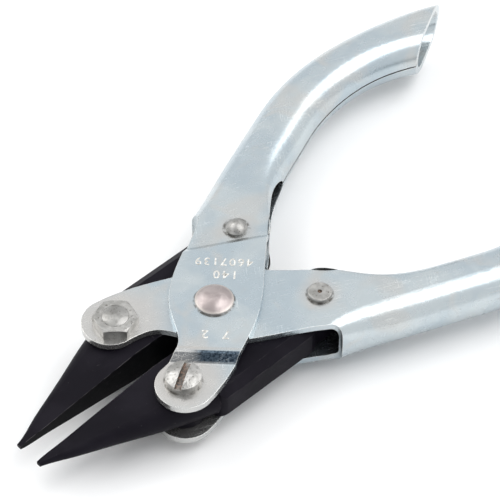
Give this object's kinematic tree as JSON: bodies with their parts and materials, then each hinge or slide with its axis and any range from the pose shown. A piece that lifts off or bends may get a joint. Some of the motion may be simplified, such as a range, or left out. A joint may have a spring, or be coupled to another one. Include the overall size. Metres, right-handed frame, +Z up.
{
  "type": "flat nose pliers",
  "caption": "Parallel-action flat nose pliers with folded sheet steel handles, black jaws and an open throat for wire.",
  "frame": {"origin": "middle of the footprint, on the surface that the tool lies on", "axes": "+X to the nose, +Y to the left seen from above with the nose pointing away, +Z up"},
  "size_m": [0.1464, 0.0786, 0.0169],
  "materials": {
    "zinc_plated_sheet": "bright zinc plate over folded steel sheet, lightly scratched",
    "blackened_steel": "black oxide on forged steel, satin, lighter on worn edges",
    "zinc_plated_fastener": "zinc plate, dull and slightly yellowed",
    "rivet_steel": "bare formed rivet, warm silver"
  },
  "bodies": {
    "inner_handle": {"inner_handle": "zinc_plated_sheet", "right_jaw_bolt": "zinc_plated_fastener", "right_jaw_nut": "zinc_plated_fastener", "inner_handle_guide_pin": "zinc_plated_fastener", "top_centre_rivet": "rivet_steel", "bottom_centre_rivet": "rivet_steel"},
    "outer_handle": {"outer_handle": "zinc_plated_sheet", "left_jaw_bolt": "zinc_plated_fastener", "left_jaw_nut": "zinc_plated_fastener", "outer_handle_guide_pin": "zinc_plated_fastener"},
    "left_jaw": {"left_jaw": "blackened_steel"},
    "right_jaw": {"right_jaw": "blackened_steel"}
  },
  "joints": [
    {"name": "handles_squeeze", "type": "hinge", "parent": "inner_handle", "child": "outer_handle", "pos_m": [0.02486, 0, 0.00846], "axis": [0, 0, 1], "range_deg": [-15, 20]},
    {"name": "left_jaw_pivot", "type": "hinge", "parent": "outer_handle", "child": "left_jaw", "pos_m": [0.04216, 0.0099, 0.00846], "axis": [0, 0, 1], "range_deg": [-10, 7.5]},
    {"name": "right_jaw_pivot", "type": "hinge", "parent": "inner_handle", "child": "right_jaw", "pos_m": [0.04216, -0.0099, 0.00846], "axis": [0, 0, 1], "range_deg": [-7.5, 10]}
  ],
  "couplings": [
    {"joint": "left_jaw_pivot", "follows": "handles_squeeze", "ratio": -0.5},
    {"joint": "right_jaw_pivot", "follows": "handles_squeeze", "ratio": 0.5}
  ]
}
